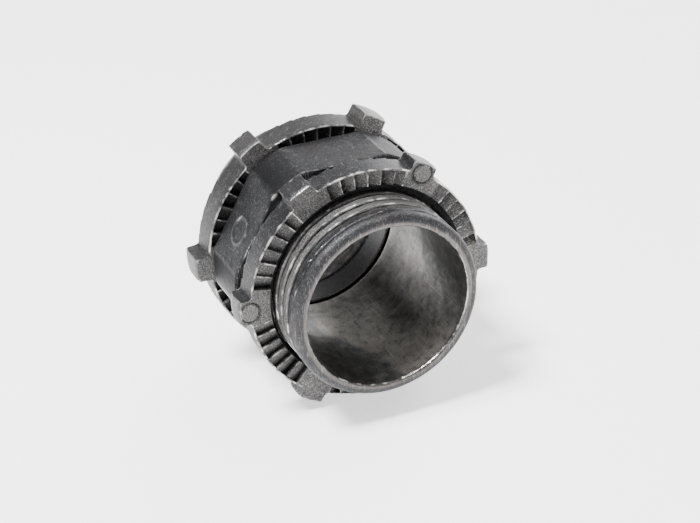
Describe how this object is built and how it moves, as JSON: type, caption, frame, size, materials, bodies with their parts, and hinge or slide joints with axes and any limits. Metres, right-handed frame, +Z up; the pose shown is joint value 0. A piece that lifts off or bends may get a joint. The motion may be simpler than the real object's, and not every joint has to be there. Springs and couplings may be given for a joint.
{
  "type": "conduit compression connector",
  "caption": "Die-cast conduit compression connector: hexagon body with a threaded nipple and lugged locknut, lugged compression nut and split ring that grip the conduit.",
  "frame": {"origin": "on the fitting's axis, in the front face of the hexagon, where the wall of a box seats", "axes": "+X along the fitting's axis towards the threaded nipple and the box; +Z up as the fitting lies on its lugs; +Y across"},
  "size_m": [0.0344, 0.0376, 0.0348],
  "materials": {
    "cast_zinc_body": "raw die-cast zinc, dull grey with burnished edges",
    "cast_zinc_nut": "raw die-cast zinc, dull grey, speckled",
    "spring_steel": "bright zinc-plated steel strip"
  },
  "bodies": {
    "body": {"connector_body": "cast_zinc_body"},
    "locknut": {"locknut": "cast_zinc_nut"},
    "ring": {"compression_ring": "spring_steel"},
    "nut": {"compression_nut": "cast_zinc_nut"}
  },
  "joints": [
    {"name": "locknut_travel", "type": "slide", "parent": "body", "child": "locknut", "axis": [1, 0, 0], "range_m": [-0.0021, 0.006]},
    {"name": "nut_travel", "type": "slide", "parent": "body", "child": "ring", "axis": [1, 0, 0], "range_m": [-0.0045, 0.0004]},
    {"name": "nut_turn", "type": "hinge", "parent": "ring", "child": "nut", "pos_m": [0, 0, 0], "axis": [1, 0, 0], "range_deg": [-893, 79.3]}
  ],
  "couplings": [
    {"joint": "nut_travel", "follows": "nut_turn", "m_per_rad": 0.00028875}
  ]
}
